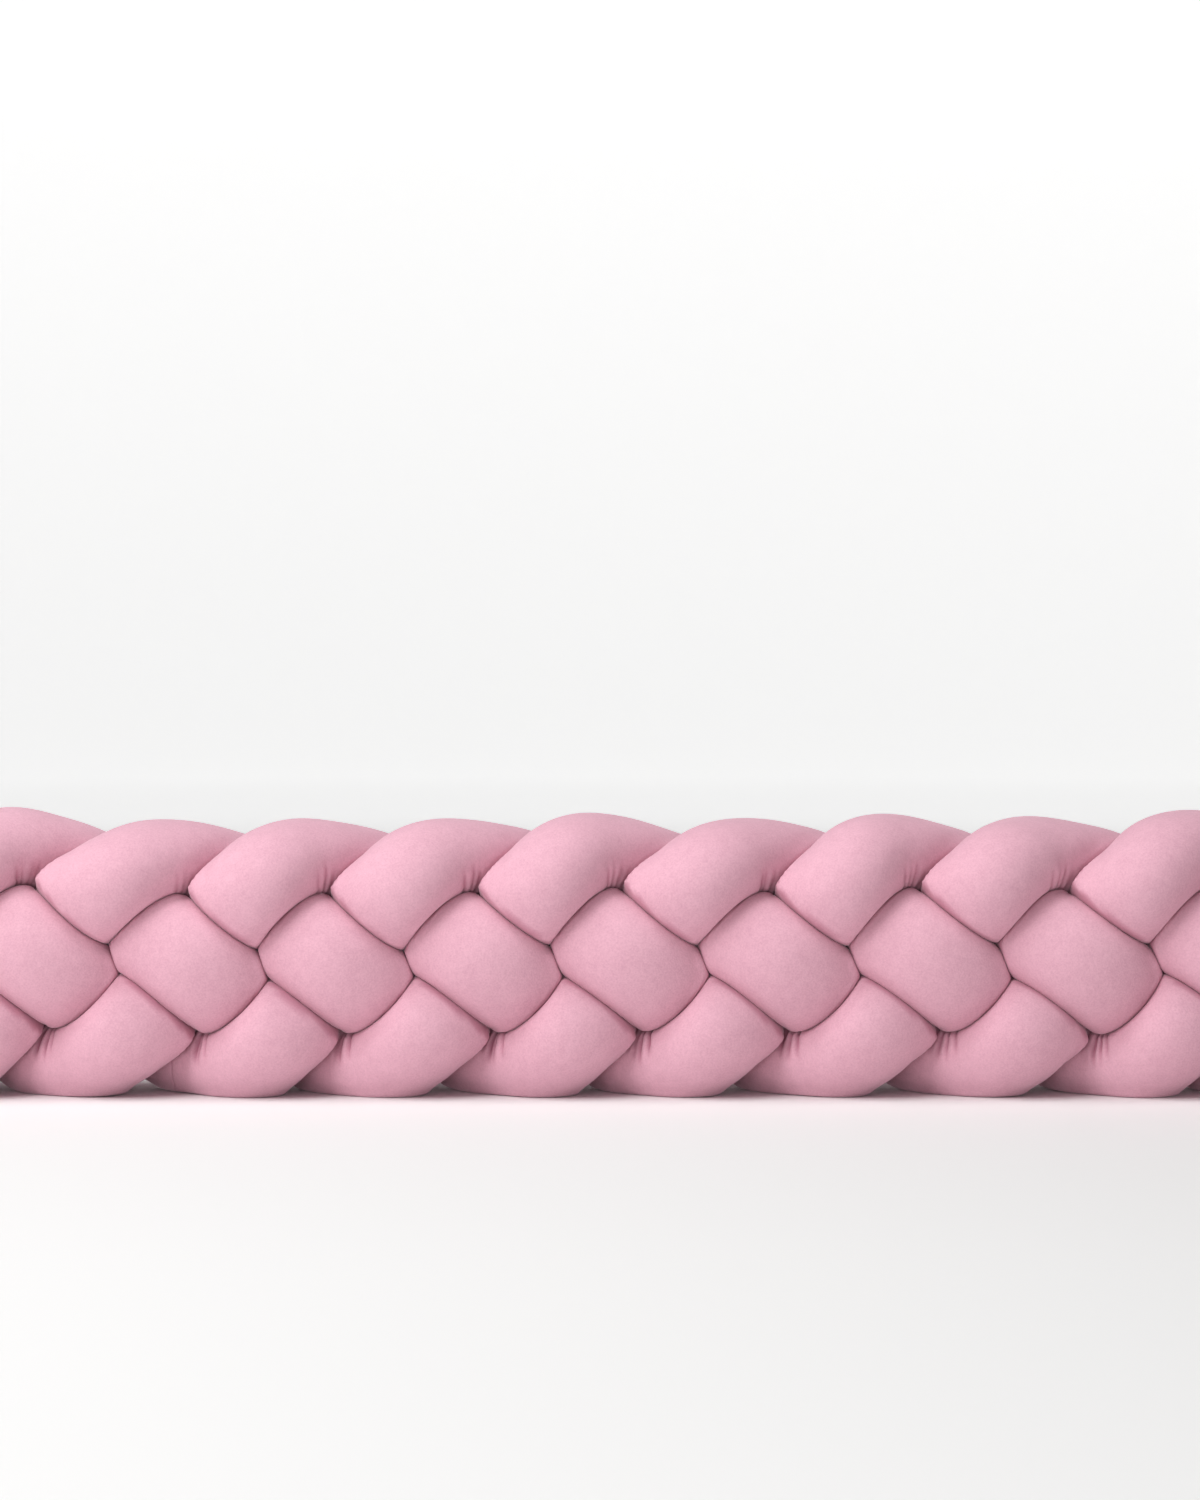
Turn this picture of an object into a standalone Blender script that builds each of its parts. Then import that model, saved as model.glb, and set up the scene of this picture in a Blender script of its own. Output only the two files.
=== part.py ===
"""Crib bumper: four stuffed tubes of velour, braided flat over one and under one.

Metres, +Z up. It stands on its lower edge. X runs along the braid, the face that shows
looks along -Y, and the origin is on the surface, under the middle of the braid.
"""

from collections import namedtuple

import bmesh
import bpy
import numpy as np

# The braid
STRANDS = 4
LENGTH = 1.200  # tip to tip
TURN_PITCH = 0.0835  # between neighbouring turns along one edge
PITCHES = 13  # that the braiding takes; past them the strands run straight to their tips
LOWEST = 0.0195  # height of a strand's middle at its turns along the lower edge
SWING = 0.0552  # of a strand's middle, up and down from the braid's middle line
MID_LAYER = 0.0195  # of a strand's middle, to the front and back, at the middle crossings
OUTER_LAYER = 0.0160  # and at the crossings of the outer rows
OUTER_ROW = 0.68  # height of the outer rows' crossings over the middle line, in swings
TURN_SHARPNESS = 1.0  # of the turns, where 1 is a plain wave's
TURN_SLOPE = 0.45  # with which a strand crosses from front to back at its turns
MID_RAISE = 0.0010  # of the middle crossings, over that line
LEAN = 0.35  # how far the braid is sheared: sideways per unit of height
END_NARROWING = 0.80  # of the swing and the layers at the tips

# One tube
GIRTH = 0.161  # of the cover, all round
FLATNESS = 0.86  # depth over height of a section with nothing pressing on it, mid braid
TURN_FLATNESS = 1.45  # and where the strand turns at an edge
TURN_HEIGHT = 0.75  # over the middle line, in swings, from which on it counts as turning
ROUNDING = 9  # a higher number presses a sharper edge where tubes meet
BEND_SHARE = 0.75  # of a bend's radius that the tube's inner side may take up
CROWDING = 0.0050  # how far a strand crowds others at mid braid, and yields at its turns
GAP = 0.0008  # between tubes that press on each other
LEAST_GAP = 0.0004  # that flat faces may leave of it
TIP = 0.024  # length over which a tube's closed end rounds off

# The mesh
SIDES = 14
RINGS = 104
TIP_RINGS = 4
LINE_STEP = 0.0025  # between the points that give a strand's middle

# How the turns differ, in mm: moved along the braid and raised, pitch by pitch
Turn = namedtuple("Turn", "pitch top_along top_up bottom_along bottom_up")
TURNS = (
    Turn(-6, 0.0, 0.0, 0.0, 0.0),
    Turn(-5, 1.0, 1.0, -2.0, 0.0),
    Turn(-4, 4.0, 5.5, -4.0, 0.0),
    Turn(-3, 8.5, -3.0, 0.0, 0.5),
    Turn(-2, 3.5, -1.9, -5.0, -0.8),
    Turn(-1, 2.5, -1.5, -2.0, 0.5),
    Turn(0, -2.3, 1.6, -5.0, 0.0),
    Turn(1, 0.5, -1.5, -5.0, 0.8),
    Turn(2, -4.0, 0.7, -1.0, 0.8),
    Turn(3, -5.0, -0.4, 1.0, -0.8),
    Turn(4, 0.5, 4.0, -2.0, 0.0),
    Turn(5, 0.0, 0.0, 0.0, 0.0),
)
MM = 0.001

FIRST_TURN = TURN_PITCH / 2  # where, along the braid, strand 1 turns at the top
# A length at each end where the braiding slows to a stop, so that it stops at a turn
END_REACH = LENGTH - PITCHES * TURN_PITCH
# A strand's rise and its depth are each a sum of a first, a third and a fifth wave
WAVES = np.array([[1], [3], [5]])
# Rise: whole at the turn, the outer row's at the crossing half a pitch on, and the turn's sharpness
RISE_RULES = np.array([[1, 1, 1], [1, -1, -1], [1, 9, 25]])
RISE_VALUES = np.array([1, OUTER_ROW * 2**0.5, TURN_SHARPNESS])
# Depth: one layer off at the outer crossing, one the other way at the middle one, and the slope
DEPTH_RULES = np.array([[1, 1, -1], [1, -1, 1], [1, 3, 5]])
DEPTH_VALUES = np.array([OUTER_LAYER * 2**0.5, -MID_LAYER, TURN_SLOPE * 2 * TURN_PITCH / np.pi])

NEARBY = 0.120  # how far along the braid a neighbouring strand can still press
FARTHEST = 0.055  # no point of a tube is farther than this from its middle
LEAST_SLOPE = 0.0001  # of a ray that is taken to reach the surface below
LEAST_BEND = 1.0  # of a strand that is taken to limit its inner side, per metre
HALVINGS = 18
EVENINGS = 2
PRESSINGS = 12
PRESSED_AT_ONCE = 0.6  # of the gap still missing, each time a tube is drawn in


def smooth(share):
    """From 0 to 1 with no kink at either."""
    share = np.clip(share, 0, 1)
    return share * share * (3 - 2 * share)


def turn_value(pitch, name):
    """A column of the table of turns, eased from each turn to the next."""
    values = np.array([getattr(turn, name) for turn in TURNS])
    before = np.clip(np.floor(pitch - TURNS[0].pitch).astype(int), 0, len(TURNS) - 2)
    share = smooth(pitch - TURNS[0].pitch - before)
    return MM * (values[before] * (1 - share) + values[before + 1] * share)


def strand_middle(strand, station):
    """Points of a strand's middle line at these distances along the unsheared braid."""
    at_end = np.clip((np.abs(station) - LENGTH / 2) / END_REACH + 1, 0, 1)
    pitch = (station - np.sign(station) * END_REACH * at_end**2 / 2 - FIRST_TURN) / TURN_PITCH
    waves = WAVES * 2 * np.pi * (pitch - strand) / STRANDS
    rise = np.linalg.solve(RISE_RULES, RISE_VALUES) @ np.cos(waves)
    depth = np.linalg.solve(DEPTH_RULES, DEPTH_VALUES) @ np.sin(waves)
    top = (1 + rise) / 2
    along = top * turn_value(pitch, "top_along") + (1 - top) * turn_value(pitch, "bottom_along")
    up = top * turn_value(pitch, "top_up") + (1 - top) * turn_value(pitch, "bottom_up")
    narrowing = 1 - (1 - END_NARROWING) * smooth(at_end)
    lean = LEAN * (1 - smooth(at_end))
    return np.stack(
        [
            station - lean * SWING * rise + along,
            narrowing * depth,
            LOWEST + SWING * narrowing * (1 + rise) + MID_RAISE * (1 - rise**2) + up,
        ],
        axis=1,
    )


def strand_line(strand):
    """The strand's middle line from tip to tip, as evenly spaced points with their crowding."""
    points = strand_middle(strand, np.linspace(-LENGTH / 2, LENGTH / 2, int(4 * LENGTH / LINE_STEP)))
    steps = np.linalg.norm(np.diff(points, axis=0), axis=1)
    travelled = np.concatenate([[0], np.cumsum(steps)])
    even = np.linspace(0, travelled[-1], int(travelled[-1] / LINE_STEP))
    line = np.stack([np.interp(even, travelled, points[:, i]) for i in range(3)], axis=1)
    return np.concatenate([line, CROWDING * (1 - 2 * height_share(line) ** 2)], axis=1)


def height_share(middles):
    """How high up the braid each middle lies: -1 at its turns below, 1 at its turns above."""
    return np.clip((middles[:, 2:3] - LOWEST) / SWING - 1, -1, 1)


def stretches_near(middles, lines):
    """The stretch of each line that lies near each of the middles."""
    reach = int(NEARBY / LINE_STEP)
    stretches = []
    for line in lines:
        index = np.searchsorted(line[:, 0], middles[:, 0])[:, None] + np.arange(-reach, reach + 1)
        stretches.append(line[np.clip(index, 0, len(line) - 1)])
    return stretches


def lead(points, stretches):
    """By how much each point is more its own strand's, the first, than any other's.

    A point's distance to a strand's middle counts less where that strand crowds the others.
    """
    distances = [
        (np.linalg.norm(points[:, :, None] - near[:, None, :, :3], axis=3) - near[:, None, :, 3]).min(2)
        for near in stretches
    ]
    return np.minimum.reduce(distances[1:]) - distances[0]


def halfway(middles, rays, stretches):
    """How far along each ray a neighbouring strand's middle comes as near as its own."""
    low = np.zeros(rays.shape[:2])
    high = np.full(rays.shape[:2], FARTHEST)
    for _ in range(HALVINGS):
        radii = (low + high) / 2
        pressed = lead(middles[:, None] + rays * radii[:, :, None], stretches) < GAP
        high = np.where(pressed, radii, high)
        low = np.where(pressed, low, radii)
    return low


def pressed_clear(middles, rays, radii, stretches):
    """The radii, drawn in wherever a face between them would cut the corner to a neighbour."""
    for _ in range(PRESSINGS):
        points = middles[:, None] + rays * radii[:, :, None]
        beside = np.roll(points, -1, axis=1)
        onward = [stretch[:-1] for stretch in stretches]
        draw_in = np.zeros(radii.shape)
        short = np.maximum(LEAST_GAP - lead((points + beside) / 2, stretches), 0)
        np.maximum(draw_in, np.maximum(short, np.roll(short, 1, axis=1)), out=draw_in)
        for near, far, near_turn, far_turn in (
            (points, points, 0, 0),
            (points, beside, 0, 1),
            (beside, points, 1, 0),
        ):
            short = np.maximum(LEAST_GAP - lead((near[:-1] + far[1:]) / 2, onward), 0)
            draw_in[:-1] = np.maximum(draw_in[:-1], np.roll(short, near_turn, axis=1))
            draw_in[1:] = np.maximum(draw_in[1:], np.roll(short, far_turn, axis=1))
        radii = radii - PRESSED_AT_ONCE * draw_in
    return radii


def section_radii(free, limits):
    """The smaller of the free radius and the limits, with the edge between them rounded."""
    return (free**-ROUNDING + (limits**-ROUNDING).sum(0)) ** (-1 / ROUNDING)


def evened(values):
    """The values, each drawn towards the ones beside it along the tube."""
    for _ in range(EVENINGS):
        beyond = np.concatenate([values[:1], values, values[-1:]])
        values = values / 2 + (beyond[2:] + beyond[:-2]) / 4
    return values


def tube_sections(strand, lines):
    """Rings of points round one tube, from tip to tip, and its two tip points."""
    line = lines[strand]
    length = LINE_STEP * (len(line) - 1)
    travelled = np.linspace(0, length, len(line))
    turn = np.linspace(0, np.pi / 2, TIP_RINGS + 1)[1:]
    body = np.linspace(TIP, length - TIP, RINGS)
    places = np.concatenate([TIP * (1 - np.sin(turn[::-1])), body, length - TIP * (1 - np.sin(turn))])
    roundness = np.concatenate([np.cos(turn[::-1]), np.ones(RINGS), np.cos(turn)])

    direction = np.gradient(line[:, :3], travelled, axis=0)
    curving = np.gradient(direction, travelled, axis=0)
    middles, along, bend = (
        np.stack([np.interp(places, travelled, values[:, i]) for i in range(3)], axis=1)
        for values in (line, direction, curving)
    )
    along /= np.linalg.norm(along, axis=1, keepdims=True)
    outward = np.array([0, 1, 0]) - along * along[:, 1:2]
    outward /= np.linalg.norm(outward, axis=1, keepdims=True)
    across = np.cross(along, outward)

    angle = 2 * np.pi * np.arange(SIDES) / SIDES
    rays = outward[:, None] * np.cos(angle)[:, None] + across[:, None] * np.sin(angle)[:, None]
    at_turn = smooth(np.abs(height_share(middles)) / TURN_HEIGHT)
    flatness = FLATNESS + (TURN_FLATNESS - FLATNESS) * at_turn
    shape = 1 / np.hypot(np.cos(angle) / flatness, np.sin(angle))
    stretches = stretches_near(middles, [line] + lines[:strand] + lines[strand + 1 :])
    to_bend = BEND_SHARE / np.maximum((rays * bend[:, None]).sum(2), LEAST_BEND)
    limits = np.stack([halfway(middles, rays, stretches), to_bend])
    to_surface = middles[:, None, 2] / np.maximum(-rays[:, :, 2], LEAST_SLOPE)

    # The cover keeps its girth: what is pressed in on one side bulges out on another
    low = np.full(len(places), GIRTH / 4 / np.pi)
    high = 3 * low
    for _ in range(HALVINGS):
        free = (low + high) / 2
        radii = np.minimum(section_radii(free[:, None] * shape, limits), to_surface)
        ring = rays * radii[:, :, None]
        girth = np.linalg.norm(ring - np.roll(ring, 1, axis=1), axis=2).sum(1)
        low = np.where(girth < GIRTH, free, low)
        high = np.where(girth < GIRTH, high, free)
    free = evened(low)[:, None]
    radii = np.minimum(section_radii(free * shape, limits) * roundness[:, None], to_surface)
    radii = pressed_clear(middles, rays, radii, stretches)
    points = middles[:, None] + rays * radii[:, :, None]
    # The outermost ring of each end has shrunk to the tip itself
    return points[1:-1], points[0, 0], points[-1, 0]


def fabric(name):
    material = bpy.data.materials.new(name)
    material.use_nodes = True
    shader = material.node_tree.nodes["Principled BSDF"]
    shader.inputs["Base Color"].default_value = (0.72, 0.37, 0.46, 1)
    shader.inputs["Roughness"].default_value = 0.9
    shader.inputs["Metallic"].default_value = 0.0
    return material


def stuffed_tube(name, strand, lines):
    """One braided tube as a closed mesh: its rings joined up, and a fan at each tip."""
    rings, first_tip, last_tip = tube_sections(strand, lines)
    mesh = bmesh.new()
    rows = [[mesh.verts.new(point) for point in ring] for ring in rings]
    for row, next_row in zip(rows, rows[1:]):
        for i in range(SIDES):
            mesh.faces.new((row[i - 1], row[i], next_row[i], next_row[i - 1]))
    for row, tip in ((rows[0], first_tip), (rows[-1], last_tip)):
        point = mesh.verts.new(tip)
        for i in range(SIDES):
            mesh.faces.new((row[i], row[i - 1], point))
    bmesh.ops.recalc_face_normals(mesh, faces=mesh.faces)
    data = bpy.data.meshes.new(name)
    mesh.to_mesh(data)
    mesh.free()
    data.shade_smooth()
    data.materials.append(fabric(name))
    bpy.context.collection.objects.link(bpy.data.objects.new(name, data))


def main():
    for obj in list(bpy.data.objects):
        bpy.data.objects.remove(obj)
    lines = [strand_line(strand) for strand in range(STRANDS)]
    for strand in range(STRANDS):
        stuffed_tube(f"strand_{strand + 1}", strand, lines)


main()
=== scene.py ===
from collections import namedtuple

import bpy
import numpy as np
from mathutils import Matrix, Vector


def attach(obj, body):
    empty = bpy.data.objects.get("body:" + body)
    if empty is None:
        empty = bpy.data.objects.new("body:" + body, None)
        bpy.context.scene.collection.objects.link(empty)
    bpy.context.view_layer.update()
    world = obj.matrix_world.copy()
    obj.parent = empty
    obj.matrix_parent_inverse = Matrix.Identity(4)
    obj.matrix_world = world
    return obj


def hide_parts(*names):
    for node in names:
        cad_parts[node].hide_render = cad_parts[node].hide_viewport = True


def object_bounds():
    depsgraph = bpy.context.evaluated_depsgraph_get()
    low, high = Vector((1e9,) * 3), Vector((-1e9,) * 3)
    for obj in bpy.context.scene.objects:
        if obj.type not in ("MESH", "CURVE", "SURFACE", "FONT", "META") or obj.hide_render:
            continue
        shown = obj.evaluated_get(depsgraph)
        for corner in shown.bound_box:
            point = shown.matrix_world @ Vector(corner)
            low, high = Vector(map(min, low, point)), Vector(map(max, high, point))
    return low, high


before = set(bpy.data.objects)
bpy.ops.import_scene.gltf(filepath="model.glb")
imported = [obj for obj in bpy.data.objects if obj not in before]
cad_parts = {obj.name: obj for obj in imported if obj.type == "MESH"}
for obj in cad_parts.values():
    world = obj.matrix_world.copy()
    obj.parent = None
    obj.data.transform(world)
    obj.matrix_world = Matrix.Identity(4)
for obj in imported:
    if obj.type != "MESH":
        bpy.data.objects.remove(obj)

# A crib bumper: four stuffed tubes of velour in a flat braid, one over and one under.
# Metres, +Z up. X runs along the braid, and the face that shows looks along -Y.
mm = 0.001
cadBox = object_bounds()
print(f"frame loaded: {len(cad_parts)} nodes, {cadBox[1].x - cadBox[0].x:.3f} m long")


braid = {
    "strands": 4,
    "length": cadBox[1].x - cadBox[0].x,
    "turnPitch": 83.5 * mm,  # between neighbouring turns along one edge
    "pitches": 13,  # that the braiding takes; past them the strands run straight to their tips
    "lowest": 19.5 * mm,  # height of a strand's middle at its lower turns
    "swing": 55.3 * mm,  # of a strand's middle, up and down from the braid's middle line
    "midLayer": 19.5 * mm,  # of a strand's middle, to the front and back, at the middle crossings
    "outerLayer": 16.0 * mm,  # and at the crossings of the outer rows
    "outerRow": 0.615,  # height of the outer rows' crossings over the middle line, in swings
    "backDrop": 0.05,  # how much nearer that line they are at the back, in swings
    "turnSharpness": 1.6,  # of the turns, where 1 is a plain wave's
    "turnSlope": 0.55,  # with which a strand passes from front to back at its turns
    "midCurve": -250 * mm,  # of its depth at the middle crossings: the nearer 0, the flatter
    "midRaise": 1.0 * mm,  # of the middle crossings, over the middle line
    "lean": 0.35,  # how far the braid is sheared: sideways per unit of height
    "endNarrowing": 0.80,  # of the swing and the layers at the tips
    "lineStep": 2.5 * mm,  # between the points that give a strand's middle
    "finer": 4,  # points worked out for each of those, to space them evenly
}
firstTurn = braid["turnPitch"] / 2  # where, along the braid, the first strand turns at the top
endReach = braid["length"] - braid["pitches"] * braid["turnPitch"]  # over which it runs out

# How the turns above and below differ, in mm: moved along the braid and raised, pitch by pitch
Turn = namedtuple("Turn", "pitch topAlong topUp bottomAlong bottomUp")
turns = (
    Turn(-6, 0.0, 0.0, 0.0, 0.0),
    Turn(-5, 1.0, 1.0, -2.0, 0.0),
    Turn(-4, 4.0, 5.5, -4.0, 0.0),
    Turn(-3, 8.5, -3.0, 0.0, 0.5),
    Turn(-2, 3.5, -1.9, -5.0, -0.8),
    Turn(-1, 2.5, -1.5, -2.0, 0.5),
    Turn(0, -2.3, 1.6, -5.0, 0.0),
    Turn(1, 0.5, -1.5, -5.0, 0.8),
    Turn(2, -4.0, 0.7, -1.0, 0.8),
    Turn(3, -5.0, -0.4, 1.0, -0.8),
    Turn(4, 0.5, 4.0, -2.0, 0.0),
    Turn(5, 0.0, 0.0, 0.0, 0.0),
)


def smooth(share):
    # From 0 to 1 with no kink at either: 3 s^2 - 2 s^3
    share = np.clip(share, 0, 1)
    return share * share * (3 - 2 * share)


def turnValue(pitch, column):
    # A column of the table of turns, eased from each turn to the next, in metres
    values = np.array([getattr(turn, column) for turn in turns])
    before = np.clip(np.floor(pitch - turns[0].pitch).astype(int), 0, len(turns) - 2)
    share = smooth(pitch - turns[0].pitch - before)
    return mm * (values[before] * (1 - share) + values[before + 1] * share)


def pitchAt(station):
    # Turns passed since the first one, and how far into an end, from 0 to 1. There the braiding
    # slows to a stop: the station falls behind by half the end's reach times that share squared
    atEnd = np.clip((np.abs(station) - braid["length"] / 2) / endReach + 1, 0, 1)
    behind = np.sign(station) * endReach * atEnd**2 / 2
    return (station - behind - firstTurn) / braid["turnPitch"], atEnd


def waveShares(conditions, values):
    # Shares of the odd waves, from the first on, that together meet as many conditions:
    # the sum of each share times its wave's part in a condition gives that condition's value
    return np.linalg.solve(np.array(conditions, dtype=float), np.array(values))


# Rise: 1 at the turn, outerRow at the crossing half a pitch on, and how sharply it turns
riseShares = waveShares(
    [(1, 1, 1), (1, -1, -1), (1, 9, 25)],
    [1, braid["outerRow"] * 2**0.5, braid["turnSharpness"]],
)
# Depth: one layer back at the outer crossing, one to the front at the middle one, its slope at
# the turn and its curve at the middle crossing
depthShares = waveShares(
    [(1, 1, -1, -1), (1, -1, 1, -1), (1, 3, 5, 7), (1, -9, 25, -49)],
    [braid["outerLayer"] * 2**0.5, -braid["midLayer"],
     braid["turnSlope"] * 2 * braid["turnPitch"] / np.pi, braid["midCurve"]],
)


def strandMiddle(strand, station):
    # Points of a middle line: rise = sum of share * cos(n a) for n = 1, 3, 5, and depth = sum of
    # share * sin(n a) for n = 1, 3, 5, 7, where a goes round once in four pitches. At the back,
    # 2 * backDrop * sin(2 a) * sin(a)^2 takes the outer crossings nearer the middle line. Then the
    # braid is sheared, and its turns are moved as the table says
    pitch, atEnd = pitchAt(station)
    wave = 2 * np.pi * (pitch - strand) / braid["strands"]
    waves = wave * np.array([[1], [3], [5], [7]])
    atBack = np.maximum(np.sin(wave), 0) ** 2
    rise = riseShares @ np.cos(waves[:3]) - 2 * braid["backDrop"] * np.sin(2 * wave) * atBack
    depth = depthShares @ np.sin(waves)
    top = (1 + rise) / 2
    along = top * turnValue(pitch, "topAlong") + (1 - top) * turnValue(pitch, "bottomAlong")
    up = top * turnValue(pitch, "topUp") + (1 - top) * turnValue(pitch, "bottomUp")
    narrowing = 1 - (1 - braid["endNarrowing"]) * smooth(atEnd)
    lean = braid["lean"] * (1 - smooth(atEnd))
    height = braid["lowest"] + braid["swing"] * narrowing * (1 + rise)
    return np.stack([
        station - lean * braid["swing"] * rise + along,
        narrowing * depth,
        height + braid["midRaise"] * (1 - rise**2) + up,
    ], axis=1)


def heightShare(middles):
    # How high up the braid each middle lies: -1 at its turns below, 1 at its turns above
    return np.clip((middles[:, 2:3] - braid["lowest"]) / braid["swing"] - 1, -1, 1)


def strandLine(strand):
    # The middle line from tip to tip as evenly spaced points, each with how far the strand crowds
    # the others there: it crowds them at mid braid, yields to them in the outer rows, and between
    # the two crowds them more by a bell, exp(-((height - shoulderHeight) / shoulderWidth)^2)
    half = braid["length"] / 2
    count = int(braid["length"] * braid["finer"] / braid["lineStep"])
    points = strandMiddle(strand, np.linspace(-half, half, count))
    steps = np.linalg.norm(np.diff(points, axis=0), axis=1)
    travelled = np.concatenate([[0], np.cumsum(steps)])
    even = np.linspace(0, travelled[-1], int(travelled[-1] / braid["lineStep"]))
    line = np.stack([np.interp(even, travelled, points[:, i]) for i in range(3)], axis=1)
    height = np.abs(heightShare(line))
    outer = smooth(height / tube["outerHeight"])
    shoulder = np.exp(-(((height - tube["shoulderHeight"]) / tube["shoulderWidth"]) ** 2))
    crowding = tube["crowding"] * (1 - outer) - tube["yielding"] * outer
    return np.concatenate([line, crowding + tube["shoulder"] * shoulder], axis=1)


tube = {
    "girth": 164.5 * mm,  # of the cover, all round
    "flatness": 0.86,  # depth over height of a section with nothing pressing on it, mid braid
    "turnFlatness": 1.25,  # and where the strand turns at an edge
    "turnFrom": 0.25,  # over the middle line, in swings, from which on it begins to turn
    "turnHeight": 0.80,  # and from which on it does so in full
    "rounding": 9,  # a higher number presses a sharper edge where tubes meet
    "bendShare": 0.75,  # of a bend's radius that the tube's inner side may take up
    "crowding": 5.0 * mm,  # how far a strand crowds others at mid braid,
    "yielding": 1.0 * mm,  # and yields to them in the outer rows,
    "outerHeight": 0.70,  # which lie from this height over the middle line on, in swings
    "shoulder": 1.4 * mm,  # how much more it crowds them between the two,
    "shoulderHeight": 0.42,  # at this height
    "shoulderWidth": 0.15,
    "tip": 24 * mm,  # length over which a closed end rounds off
    "sides": 96,
    "rings": 880,
    "tipRings": 14,
    "nearby": 90 * mm,  # how far along the line a neighbouring strand can still press
    "farthest": 55 * mm,  # no point of a tube is farther than this from its middle
    "contactHalvings": 7,  # to find where a ray meets a neighbour
    "girthHalvings": 16,  # to find how large the free section is
    "leastBend": 1.0,  # of a line that is taken to limit the tube's inner side, per metre
    "leastSlope": 0.0001,  # of a ray that is taken to reach the floor
    "ringParts": 24,  # in which the rings are worked out, to save memory
    "freeEvenings": 250,  # of the free section's size along the tube
    "settlings": 3,  # rounds in which the cover evens out and is filled up again
    "evenings": 4,  # in each round
    "refill": 0.5,  # share of the missing girth that comes back in each round
    "touching": 3.0 * mm,  # clearances below this close up
    "fill": 0.85,
}


def stretchesNear(middles, lines):
    # The stretch of each line near each of the middles, seen from that middle
    reach = int(tube["nearby"] / braid["lineStep"])
    stretches = []
    for line in lines:
        index = np.searchsorted(line[:, 0], middles[:, 0])[:, None] + np.arange(-reach, reach + 1)
        near = line[np.clip(index, 0, len(line) - 1)]
        near[:, :, :3] -= middles[:, None]
        stretches.append(near.astype(np.float32))
    return stretches


def halfway(rays, stretches):
    # How far along each ray a neighbour's middle comes as near as its own: halving, then one
    # straight-line step. A point's distance to a line, sqrt(r^2 + f^2 - 2 r f cos), counts less
    # where that strand crowds the others
    facing = [rays.astype(np.float32) @ near[:, :, :3].transpose(0, 2, 1) for near in stretches]
    lengths = [(near[:, None, :, :3] ** 2).sum(3) for near in stretches]
    crowdings = [near[:, None, :, 3] for near in stretches]

    def lead(radii):
        r = radii.astype(np.float32)[:, :, None]
        away = [
            (np.sqrt(np.maximum(r * r + far - 2 * r * face, 0)) - crowding).min(2)
            for face, far, crowding in zip(facing, lengths, crowdings)
        ]
        return np.minimum.reduce(away[1:]) - away[0]

    low = np.zeros(rays.shape[:2])
    high = np.full(rays.shape[:2], tube["farthest"])
    leadLow, leadHigh = lead(low), lead(high)
    for _ in range(tube["contactHalvings"]):
        middle = (low + high) / 2
        leadMiddle = lead(middle)
        pressed = leadMiddle < 0
        high = np.where(pressed, middle, high)
        leadHigh = np.where(pressed, leadMiddle, leadHigh)
        low = np.where(pressed, low, middle)
        leadLow = np.where(pressed, leadLow, leadMiddle)
    free = leadHigh >= 0
    step = leadLow / np.where(free, 1, leadLow - leadHigh)
    return np.where(free, tube["farthest"], low + (high - low) * np.clip(step, 0, 1))


def tubeFrame(strand, lines):
    # Rings square to the middle line from tip to tip: their places along it, the share of their
    # size that a round tip leaves them, cos(t) where the place is tip * (1 - sin(t)), their
    # middles, the line's bend there, and the evenly turned rays that leave each middle
    line = lines[strand]
    length = braid["lineStep"] * (len(line) - 1)
    travelled = np.linspace(0, length, len(line))
    turn = np.linspace(0, np.pi / 2, tube["tipRings"] + 1)[1:]
    body = np.linspace(tube["tip"], length - tube["tip"], tube["rings"])
    tipPlaces = tube["tip"] * (1 - np.sin(turn))
    places = np.concatenate([tipPlaces[::-1], body, length - tipPlaces])
    roundness = np.concatenate([np.cos(turn[::-1]), np.ones(tube["rings"]), np.cos(turn)])

    direction = np.gradient(line[:, :3], travelled, axis=0)
    bending = np.gradient(direction, travelled, axis=0)
    middles, along, bend = (
        np.stack([np.interp(places, travelled, values[:, i]) for i in range(3)], axis=1)
        for values in (line, direction, bending)
    )
    along /= np.linalg.norm(along, axis=1, keepdims=True)
    outward = np.array([0, 1, 0]) - along * along[:, 1:2]
    outward /= np.linalg.norm(outward, axis=1, keepdims=True)
    across = np.cross(along, outward)
    angle = 2 * np.pi * np.arange(tube["sides"]) / tube["sides"]
    rays = outward[:, None] * np.cos(angle)[:, None] + across[:, None] * np.sin(angle)[:, None]
    return places, roundness, middles, bend, angle, rays


def girthOf(rays, radii):
    # The way round each ring, from point to point
    ring = rays * radii[:, :, None]
    return np.linalg.norm(ring - np.roll(ring, 1, axis=1), axis=2).sum(1)


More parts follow.
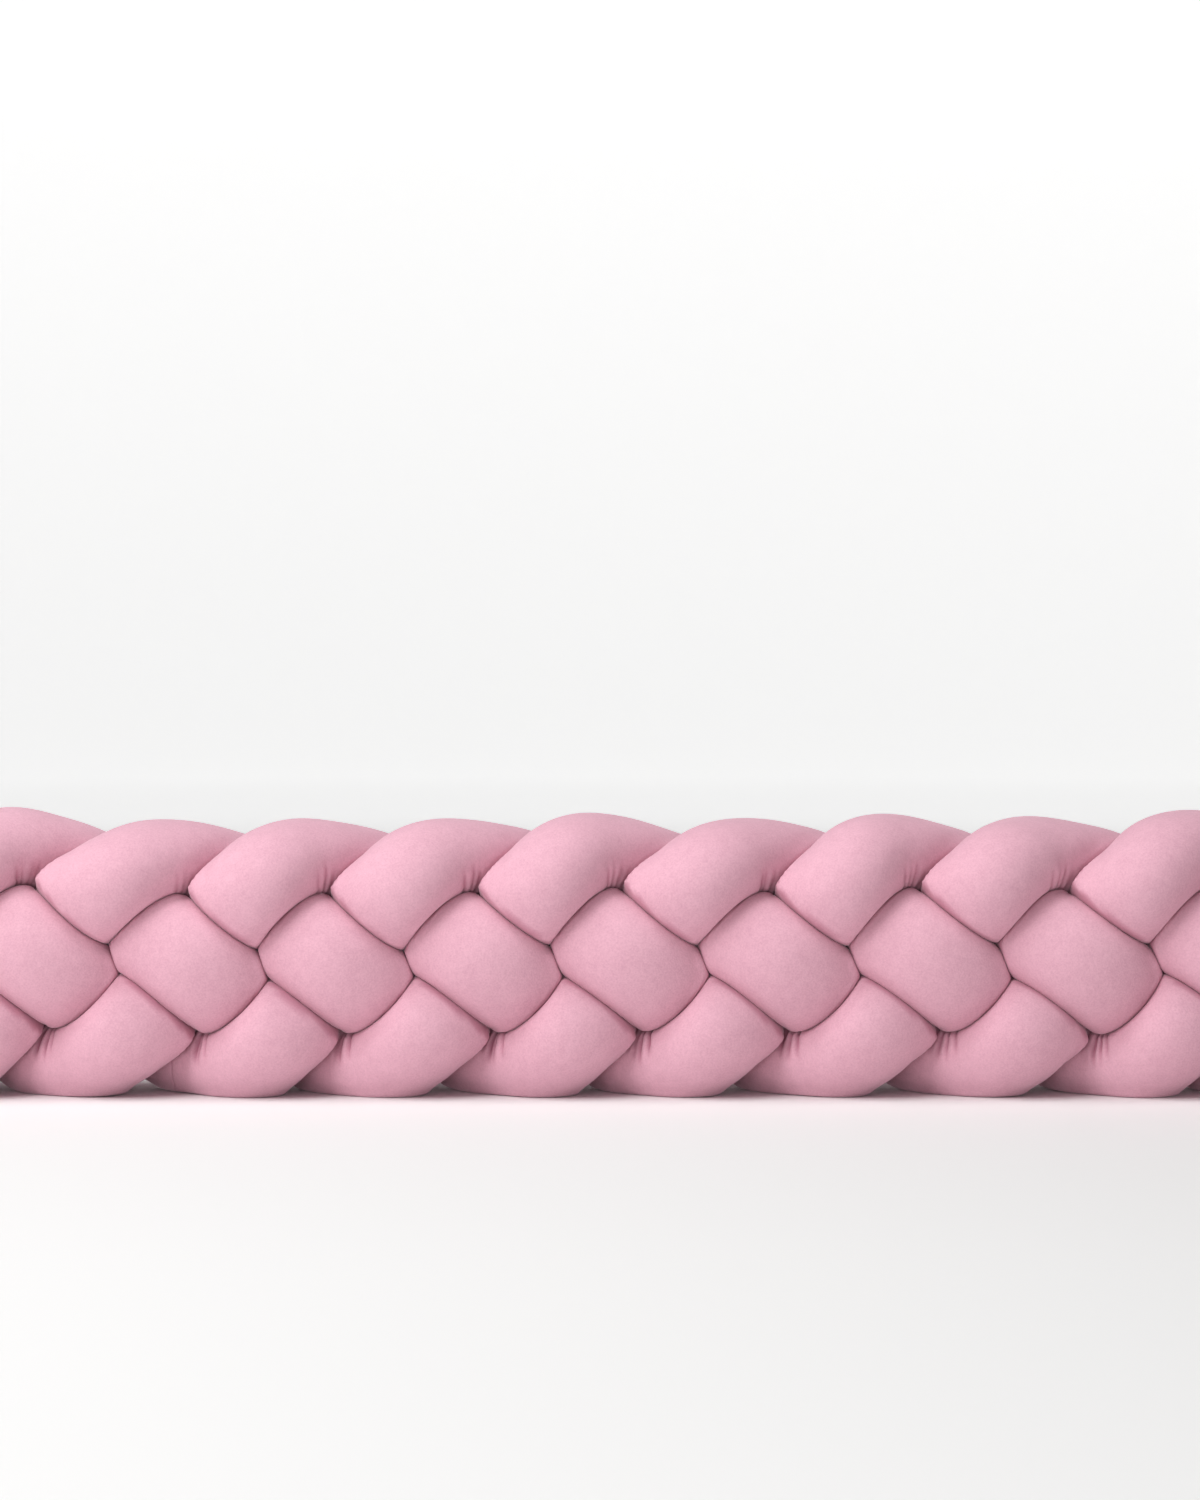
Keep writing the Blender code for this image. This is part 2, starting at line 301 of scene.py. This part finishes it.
def tubeRadii(strand, lines, frameOfTube):
    # Radius = (free^-n + pressed^-n + bend^-n)^(-1/n): the smaller of a free ellipse's radius and
    # of what presses on it, with a rounded edge between. The ellipse is as large as the cover's
    # girth asks: what is pressed in on one side bulges out on another
    places, roundness, middles, bend, angle, rays = frameOfTube
    turning = np.abs(heightShare(middles)) - tube["turnFrom"]
    atTurn = smooth(turning / (tube["turnHeight"] - tube["turnFrom"]))
    flatness = tube["flatness"] + (tube["turnFlatness"] - tube["flatness"]) * atTurn
    shape = 1 / np.hypot(np.cos(angle) / flatness, np.sin(angle))
    stretches = stretchesNear(middles, [lines[strand]] + lines[:strand] + lines[strand + 1 :])
    pressed = np.concatenate([
        halfway(rays[part], [near[part] for near in stretches])
        for part in np.array_split(np.arange(len(places)), tube["ringParts"])
    ])
    toBend = tube["bendShare"] / np.maximum((rays * bend[:, None]).sum(2), tube["leastBend"])
    toFloor = middles[:, None, 2] / np.maximum(-rays[:, :, 2], tube["leastSlope"])
    power = tube["rounding"]
    limits = pressed**-power + toBend**-power

    low = np.full(len(places), tube["girth"] / 4 / np.pi)
    high = 3 * low
    for _ in range(tube["girthHalvings"]):
        free = (low + high) / 2
        radii = np.minimum(((free[:, None] * shape) ** -power + limits) ** (-1 / power), toFloor)
        slack = girthOf(rays, radii) < tube["girth"]
        low = np.where(slack, free, low)
        high = np.where(slack, high, free)

    # A taut cover evens itself out and is filled up again, held in by its neighbours and the floor
    free = evenedAlong(low, tube["freeEvenings"])
    radii = ((free[:, None] * shape) ** -power + limits) ** (-1 / power)
    held = np.minimum(pressed, toFloor)
    for _ in range(tube["settlings"]):
        radii = evened(radii, tube["evenings"])
        slack = tube["girth"] / girthOf(rays, radii) - 1
        radii = np.minimum(radii * (1 + tube["refill"] * slack[:, None]), held)
    spare = held - radii
    return held - spare * (1 - np.exp(-((spare / tube["touching"]) ** 2))), pressed, toFloor


def evenedAlong(values, times):
    # Each ring takes up half of the mean of the rings beside it, and does so again
    for _ in range(times):
        beyond = np.concatenate([values[:1], values, values[-1:]])
        values = values / 2 + (beyond[2:] + beyond[:-2]) / 4
    return values


def evened(radii, times):
    # The same both round the ring and along the tube
    for _ in range(times):
        radii = radii / 2 + (np.roll(radii, 1, axis=1) + np.roll(radii, -1, axis=1)) / 4
        radii = evenedAlong(radii, 1)
    return radii


# What the eye reads as cloth: small gathers on the inner side of each turn, and slight unevenness
ease = {
    "gathers": 4,  # at a turn
    "gatherTurns": 0.7,  # height over the middle line from which on a turn counts, in swings
    "gatherSpacing": 7.5 * mm,  # along the strand's middle
    "gatherStray": 0.3,  # of each off its place, in spacings
    "gatherLeast": 0.45,  # depth of the shallowest, against the deepest
    "gatherWidth": 1.8 * mm,
    "gatherDepth": 3.2 * mm,
    "gatherAbove": 0.6,  # share of their depth that they have at the turns above
    "gatherStart": 0.06,  # squeeze of the cover on the inner side of the bend from which on
    "gatherFull": 0.30,  # they show, and from which on they are at their deepest
    "gatherAfter": -3 * mm,  # how far they lie past a turn above, and short of one below
    "gatherClear": 3 * mm,  # clearance in which the mask of what touches falls to 1 / e
    "gatherBlur": 40,  # evenings of that mask, so that they run out softly,
    "gatherTouch": 3,  # and how many times it counts after that, up to 1
    "contactShadeWidth": 0.35 * mm,  # clearance within which painted shade darkens the colour where tubes touch
    "contactShadeShare": 0.55,  # share of that painted shade colour where tubes touch
    "uneven": 0.25 * mm,  # of the cover, up and down
    "unevenWaves": 24,
    "unevenShortest": 30,  # of them, in mm along the tube,
    "unevenLongest": 90,
    "unevenRounds": 3,  # and the most times that one goes up and down round the tube
    "unevenFrom": 5 * mm,  # clearance from which on it is in full
}


def gathered(strand, places, middles, bend, rays, radii, pressed):
    # Furrows across the inner side of a bend: at each turn a few, each a bell along the tube, as
    # deep as the cover is squeezed together there and as near as a neighbour touches.
    # Depth = squeeze * touch * sum of share * exp(-((u - u0) / w)^2)
    squeeze = (rays * bend[:, None]).sum(2) * radii - ease["gatherStart"]
    squeeze = smooth(squeeze / (ease["gatherFull"] - ease["gatherStart"]))
    touching = evened(np.exp(-(pressed - radii) / ease["gatherClear"]), ease["gatherBlur"])
    height = heightShare(middles)[:, 0]
    climbing = np.sign(np.diff(middles[:, 2]))
    atTurn = (climbing[1:] != climbing[:-1]) & (np.abs(height[1:-1]) > ease["gatherTurns"])
    chance = np.random.default_rng(40 + strand)
    furrows = np.zeros(len(places))
    for ring in np.flatnonzero(atTurn) + 1:
        middle = places[ring] + ease["gatherAfter"] * np.sign(height[ring])
        strength = ease["gatherAbove"] if height[ring] > 0 else 1
        for i in range(ease["gathers"]):
            stray = chance.uniform(-ease["gatherStray"], ease["gatherStray"])
            offset = i - (ease["gathers"] - 1) / 2 + stray
            at = middle + ease["gatherSpacing"] * offset
            depth = strength * chance.uniform(ease["gatherLeast"], 1)
            furrows += depth * np.exp(-(((places - at) / ease["gatherWidth"]) ** 2))
    return furrows[:, None] * squeeze * smooth(ease["gatherTouch"] * touching)


def unevenness(strand, places, angle):
    # The cover is a little uneven: a sum of waves cos(2 pi u / length + k angle + start), where
    # length, k and start are chance's
    chance = np.random.default_rng(70 + strand)
    total = np.zeros((len(places), len(angle)))
    for _ in range(ease["unevenWaves"]):
        length = chance.uniform(ease["unevenShortest"], ease["unevenLongest"]) * mm
        timesRound = chance.integers(-ease["unevenRounds"], ease["unevenRounds"] + 1)
        phase = 2 * np.pi * (places[:, None] / length + chance.uniform()) + timesRound * angle
        total += np.cos(phase)
    return ease["uneven"] * total / np.sqrt(ease["unevenWaves"] / 2)


# One of the tubes is joined from two lengths: a fine seam runs once round it, in a slight S. Its
# groove is bumped in and darkened with painted shade
seam = {
    "strand": 3,
    "x": -205 * mm,  # where it crosses the tube's middle
    "sway": 3 * mm,  # of the S, along the tube
    "width": 0.5 * mm,
    "depth": 0.35 * mm,
    "shade": 0.3,  # share of the painted shade colour in its groove
}


def fromSeam(strand, places, middles, angle):
    # How far past the seam each point lies along the tube, u - u0 - sway * sin(2 angle), and on
    # the other tubes a metre off
    if strand != seam["strand"]:
        return np.ones((len(places), len(angle)))
    at = np.interp(seam["x"], middles[:, 0], places)
    return places[:, None] - at - seam["sway"] * np.sin(2 * angle)


def tubeMesh(name, points, tips):
    # A closed mesh: the rings joined up by quads, and a fan at each tip
    rings, sides = points.shape[:2]
    corners = np.arange(rings * sides).reshape(rings, sides)
    beside = np.roll(corners, -1, axis=1)
    quads = np.stack([corners[:-1], beside[:-1], beside[1:], corners[1:]], axis=2).reshape(-1, 4)
    last = rings * sides
    firstFan = np.stack([beside[0], corners[0], np.full(sides, last)], axis=1)
    lastFan = np.stack([corners[-1], beside[-1], np.full(sides, last + 1)], axis=1)
    places = np.concatenate([points.reshape(-1, 3), tips])
    mesh = bpy.data.meshes.new(name)
    mesh.from_pydata(places.tolist(), [], quads.tolist() + firstFan.tolist() + lastFan.tolist())
    mesh.shade_smooth()
    return mesh


def pointValues(mesh, name, values, atTips):
    # A value for each point of the rings, and one for both tips
    attribute = mesh.attributes.new(name, "FLOAT", "POINT")
    values = np.append(values[1:-1].ravel(), [atTips, atTips])
    attribute.data.foreach_set("value", values.astype(np.float32))


def makeTube(strand, lines, material):
    # Point = middle + ray * radius, where the radius takes the unevenness and the gathers, stops
    # at the neighbours and the floor, and shrinks to nothing at the tips
    frameOfTube = tubeFrame(strand, lines)
    places, roundness, middles, bend, angle, rays = frameOfTube
    radii, pressed, toFloor = tubeRadii(strand, lines, frameOfTube)
    clear = smooth((pressed - radii) / ease["unevenFrom"])
    radii = radii + unevenness(strand, places, angle) * clear
    gathers = gathered(strand, places, middles, bend, rays, radii, pressed)
    radii = radii - ease["gatherDepth"] * gathers
    radii = np.minimum(np.minimum(radii, pressed) * roundness[:, None], toFloor)
    points = middles[:, None] + rays * radii[:, :, None]
    name = f"velourTube{strand + 1}"
    # The outermost ring of each end has shrunk to the tip itself
    mesh = tubeMesh(name, points[1:-1], np.stack([points[0, 0], points[-1, 0]]))
    # Painted shade: a mask, kept on the points, that darkens the colour down in the gathers and
    # along the lines where tubes touch
    contactShade = ease["contactShadeShare"] * np.exp(-(((pressed - radii) / ease["contactShadeWidth"]) ** 2))
    pointValues(mesh, "paintedShade", np.clip(np.maximum(gathers, contactShade), 0, 1), 0)
    pointValues(mesh, "fromSeam", fromSeam(strand, places, middles, angle), 1)
    mesh.materials.append(material)
    piece = bpy.data.objects.new(name, mesh)
    bpy.context.collection.objects.link(piece)
    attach(piece, "root")
    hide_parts(f"strand_{strand + 1}")
    print(f"{name}: {len(mesh.polygons)} faces")


velour = {
    "light": (0.765, 0.438, 0.528, 1),  # where the pile stands towards the light
    "deep": (0.625, 0.332, 0.413, 1),  # and where it lies away from it
    "paintedShade": (0.42, 0.13, 0.20, 1),  # painted shade, down in the gathers and where tubes touch
    "grain": 1.1 * mm,
    "mottle": 7 * mm,
    "patches": 45 * mm,
    "patchShare": 0.4,  # of the patches, against the mottle
    "grainShare": 0.6,  # and of the grain, against both
    "shadeFrom": 0.3,  # value of their blend with the deep colour,
    "shadeTo": 0.7,  # and with the light one
    "deepRoughness": 0.95,
    "lightRoughness": 0.80,
    "mottleHeight": 0.35,  # share of the mottle in the bumps, against the grain
    "pile": 0.25 * mm,  # how far the pile's bumps stand out
    "specular": 0.15,
    "sheen": 0.5,
    "sheenRoughness": 0.4,
    "sheenTint": (1, 0.76, 0.84, 1),
}


def node(tree, kind, settings=(), **values):
    # A new node of a kind, with its settings and the values of its sockets
    made = tree.nodes.new("ShaderNode" + kind)
    for name, value in dict(settings).items():
        setattr(made, name, value)
    for name, value in values.items():
        made.inputs[name.replace("_", " ")].default_value = value
    return made


def makePile():
    # The velour's pile: noise at three sizes gives the colour, and the finest also the height
    group = bpy.data.node_groups.new("pile", "ShaderNodeTree")
    for name in ("Light", "Deep"):
        group.interface.new_socket(name, in_out="INPUT", socket_type="NodeSocketColor")
    for name in ("Grain", "Mottle", "Patches"):
        group.interface.new_socket(name, in_out="INPUT", socket_type="NodeSocketFloat")
    for name, kind in (("Colour", "Color"), ("Roughness", "Float"), ("Height", "Float")):
        group.interface.new_socket(name, in_out="OUTPUT", socket_type="NodeSocket" + kind)
    given = group.nodes.new("NodeGroupInput")
    result = group.nodes.new("NodeGroupOutput")
    place = node(group, "TexCoord")
    link = group.links.new

    def noise(size, detail):
        # Noise whose spots are about as large as the size given
        over = node(group, "Math", {"operation": "DIVIDE"})
        over.inputs[0].default_value = 1
        link(given.outputs[size], over.inputs[1])
        made = node(group, "TexNoise", Detail=detail, Roughness=0.6)
        link(place.outputs["Object"], made.inputs["Vector"])
        link(over.outputs[0], made.inputs["Scale"])
        return made.outputs[0]

    grain, mottle, patches = noise("Grain", 2), noise("Mottle", 2), noise("Patches", 1)

    def blend(first, second, share):
        # (1 - share) * first + share * second
        made = node(group, "Mix", {"data_type": "FLOAT"})
        made.inputs[0].default_value = share
        link(first, made.inputs[2])
        link(second, made.inputs[3])
        return made.outputs[0]

    shade = blend(blend(mottle, patches, velour["patchShare"]), grain, velour["grainShare"])
    spread = node(group, "MapRange")
    spread.inputs["From Min"].default_value = velour["shadeFrom"]
    spread.inputs["From Max"].default_value = velour["shadeTo"]
    link(shade, spread.inputs["Value"])
    colour = node(group, "Mix", {"data_type": "RGBA"})
    link(spread.outputs["Result"], colour.inputs[0])
    link(given.outputs["Deep"], colour.inputs[6])
    link(given.outputs["Light"], colour.inputs[7])
    rough = node(group, "MapRange")
    rough.inputs["To Min"].default_value = velour["deepRoughness"]
    rough.inputs["To Max"].default_value = velour["lightRoughness"]
    link(shade, rough.inputs["Value"])
    link(colour.outputs[2], result.inputs["Colour"])
    link(rough.outputs["Result"], result.inputs["Roughness"])
    link(blend(grain, mottle, velour["mottleHeight"]), result.inputs["Height"])
    return group


def makeSeam():
    # A fine groove: 1 on the seam, falling off as exp(-(distance / width)^2)
    group = bpy.data.node_groups.new("seam", "ShaderNodeTree")
    for name in ("Distance", "Width"):
        group.interface.new_socket(name, in_out="INPUT", socket_type="NodeSocketFloat")
    group.interface.new_socket("Mask", in_out="OUTPUT", socket_type="NodeSocketFloat")
    given = group.nodes.new("NodeGroupInput")
    result = group.nodes.new("NodeGroupOutput")
    share = node(group, "Math", {"operation": "DIVIDE"})
    square = node(group, "Math", {"operation": "MULTIPLY"})
    fall = node(group, "Math", {"operation": "POWER"})
    fall.inputs[0].default_value = 1 / np.e
    group.links.new(given.outputs["Distance"], share.inputs[0])
    group.links.new(given.outputs["Width"], share.inputs[1])
    group.links.new(share.outputs[0], square.inputs[0])
    group.links.new(share.outputs[0], square.inputs[1])
    group.links.new(square.outputs[0], fall.inputs[1])
    group.links.new(fall.outputs[0], result.inputs["Mask"])
    return group


def makeVelour():
    # The pile's colour, mixed with a painted shade colour in the gathers, where tubes touch and in
    # the seam
    material = bpy.data.materials.new("velour")
    material.use_nodes = True
    tree = material.node_tree
    shader = tree.nodes["Principled BSDF"]
    pile = node(tree, "Group")
    pile.node_tree = makePile()
    for name in ("Light", "Deep", "Grain", "Mottle", "Patches"):
        pile.inputs[name].default_value = velour[name.lower()]
    # Painted shade: that mask and the seam's groove mix a dark colour into the pile's
    paintedShade = node(tree, "Attribute", {"attribute_name": "paintedShade"})
    shade = node(tree, "Mix", {"data_type": "RGBA"})
    shade.inputs[7].default_value = velour["paintedShade"]
    distance = node(tree, "Attribute", {"attribute_name": "fromSeam"})
    groove = node(tree, "Group")
    groove.node_tree = makeSeam()
    groove.inputs["Width"].default_value = seam["width"]
    tree.links.new(distance.outputs["Fac"], groove.inputs["Distance"])
    # Painted shade in the seam's groove, added to the painted shade of the gathers and contacts
    dark = node(tree, "Math", {"operation": "MULTIPLY_ADD"})
    dark.inputs[1].default_value = seam["shade"]
    tree.links.new(groove.outputs["Mask"], dark.inputs[0])
    tree.links.new(paintedShade.outputs["Fac"], dark.inputs[2])
    tree.links.new(dark.outputs[0], shade.inputs[0])
    sunk = node(tree, "Math", {"operation": "MULTIPLY_ADD"})
    sunk.inputs[1].default_value = -seam["depth"] / velour["pile"]
    tree.links.new(groove.outputs["Mask"], sunk.inputs[0])
    tree.links.new(pile.outputs["Height"], sunk.inputs[2])
    tree.links.new(pile.outputs["Colour"], shade.inputs[6])
    bump = node(tree, "Bump", Strength=1.0, Distance=velour["pile"])
    tree.links.new(sunk.outputs[0], bump.inputs["Height"])
    tree.links.new(bump.outputs["Normal"], shader.inputs["Normal"])
    tree.links.new(shade.outputs[2], shader.inputs["Base Color"])
    tree.links.new(pile.outputs["Roughness"], shader.inputs["Roughness"])
    shader.inputs["Specular IOR Level"].default_value = velour["specular"]
    shader.inputs["Sheen Weight"].default_value = velour["sheen"]
    shader.inputs["Sheen Roughness"].default_value = velour["sheenRoughness"]
    shader.inputs["Sheen Tint"].default_value = velour["sheenTint"]
    return material


stage = {
    "rings": (0.5, 2, 4),  # radii of the level floor's inner rings
    "radius": 6.5,  # of the level floor
    "sides": 96,
    "wallCurve": 2.5,  # radius with which it turns up into a wall
    "wallSteps": 16,
    "colour": (0.86, 0.855, 0.85, 1),
    "roughness": 0.8,
    "glow": 0.62,  # of the wall, and of the floor where the lamps no longer reach:
    "glowFrom": 0.8,  # it sets in this far out from the middle,
    "glowTo": 4.5,  # and is in full this far out
}


def makeStage():
    # A bowl: a level line whose end turns up in a quarter circle, turned about the vertical
    turned = np.linspace(0, 2 * np.pi, stage["sides"] + 1)[:-1]
    curve = np.linspace(0, np.pi / 2, stage["wallSteps"] + 1)
    out = np.concatenate([stage["rings"], stage["radius"] + stage["wallCurve"] * np.sin(curve)])
    up = np.concatenate([np.zeros(len(stage["rings"])), stage["wallCurve"] * (1 - np.cos(curve))])
    rings = np.stack([
        out[:, None] * np.cos(turned),
        out[:, None] * np.sin(turned),
        up[:, None] + 0 * turned,
    ], axis=2)
    count = len(turned)
    corners = np.arange(len(out) * count).reshape(-1, count)
    beside = np.roll(corners, -1, axis=1)
    quads = np.stack([corners[:-1], corners[1:], beside[1:], beside[:-1]], axis=2).reshape(-1, 4)
    faces = quads.tolist() + [corners[0].tolist()]
    mesh = bpy.data.meshes.new("floor")
    mesh.from_pydata(rings.reshape(-1, 3).tolist(), [], faces)
    mesh.shade_smooth()
    material = bpy.data.materials.new("paleFloor")
    material.use_nodes = True
    shader = material.node_tree.nodes["Principled BSDF"]
    shader.inputs["Base Color"].default_value = stage["colour"]
    shader.inputs["Roughness"].default_value = stage["roughness"]
    shader.inputs["Emission Strength"].default_value = 1
    tree = material.node_tree
    place = node(tree, "TexCoord")
    distance = node(tree, "VectorMath", {"operation": "LENGTH"})
    tree.links.new(place.outputs["Object"], distance.inputs[0])
    glow = node(tree, "MapRange", {"interpolation_type": "SMOOTHSTEP"})
    glow.inputs["From Min"].default_value = stage["glowFrom"]
    glow.inputs["From Max"].default_value = stage["glowTo"]
    glow.inputs["To Max"].default_value = stage["glow"]
    tree.links.new(distance.outputs["Value"], glow.inputs["Value"])
    tree.links.new(glow.outputs["Result"], shader.inputs["Emission Color"])
    mesh.materials.append(material)
    floor = bpy.data.objects.new("floor", mesh)
    bpy.context.collection.objects.link(floor)


def lookAt(lamp, place, target):
    # Puts a lamp at its place and turns its face, which looks down its -Z, to the target
    away = np.array(place) - np.array(target)
    lamp.location = place
    lamp.rotation_euler = (
        np.arctan2(np.hypot(away[0], away[1]), away[2]),
        0,
        np.arctan2(away[0], -away[1]),
    )


# Three soft lamps, and a pale sky over all
Lamp = namedtuple("Lamp", "place width height power")
lamps = {
    "key": Lamp((-1.5, -1.85, 2.2), 1.3, 1.3, 51),
    "front": Lamp((-0.6, -3.2, 0.35), 2.6, 0.7, 12),
    "top": Lamp((-0.8, -0.2, 2.4), 1.4, 1.4, 39),
}
lampTarget = (0, 0, 80 * mm)
sky = 0.10


def makeLights():
    for name, (place, width, height, power) in lamps.items():
        light = bpy.data.lights.new(name, "AREA")
        light.shape = "RECTANGLE"
        light.size, light.size_y, light.energy = width, height, power
        lamp = bpy.data.objects.new(name, light)
        lamp.visible_camera = False
        lookAt(lamp, place, lampTarget)
        bpy.context.collection.objects.link(lamp)
    world = bpy.data.worlds.new("studio")
    world.use_nodes = True
    background = world.node_tree.nodes["Background"]
    background.inputs["Color"].default_value = (1, 1, 1, 1)
    background.inputs["Strength"].default_value = sky
    bpy.context.scene.world = world


camera = {
    "distance": 2.4,
    "elevation": 4.0,  # degrees
    "target": (22.75 * mm, 0, 76.2 * mm),
    "pixelsDown": 207,  # of the target, under the middle of the frame
    "frameWidth": 0.678,  # that shows at the target
    "imageWidth": 1200,
    "imageHeight": 1500,
    "sensor": 36,  # millimetres high
    "nearest": 0.05,  # that it shows,
    "farthest": 60,
}


def makeCamera():
    # The target lies atan(pixelsDown / focal length in pixels) under the camera's axis
    focal = camera["imageWidth"] * camera["distance"] / camera["frameWidth"]
    elevation = np.radians(camera["elevation"])
    pitch = np.arctan(camera["pixelsDown"] / focal) - elevation
    lens = bpy.data.cameras.new("camera")
    lens.sensor_fit = "VERTICAL"
    lens.sensor_height = lens.sensor_width = camera["sensor"]
    lens.lens = camera["sensor"] * focal / camera["imageHeight"]
    lens.clip_start, lens.clip_end = camera["nearest"], camera["farthest"]
    view = bpy.data.objects.new("camera", lens)
    x, y, z = camera["target"]
    out, up = camera["distance"] * np.cos(elevation), camera["distance"] * np.sin(elevation)
    view.location = (x, y - out, z + up)
    view.rotation_euler = (np.pi / 2 + pitch, 0, 0)
    bpy.context.collection.objects.link(view)
    bpy.context.scene.camera = view


velourMaterial = makeVelour()
lines = [strandLine(strand) for strand in range(braid["strands"])]
print(f"braid laid out: {len(lines)} strands of {len(lines[0])} points")
for strand in range(braid["strands"]):
    makeTube(strand, lines, velourMaterial)
makeStage()
makeLights()
makeCamera()
bpy.context.scene.view_settings.view_transform = "Standard"
print("floor, lamps and camera placed")

bpy.context.view_layer.update()
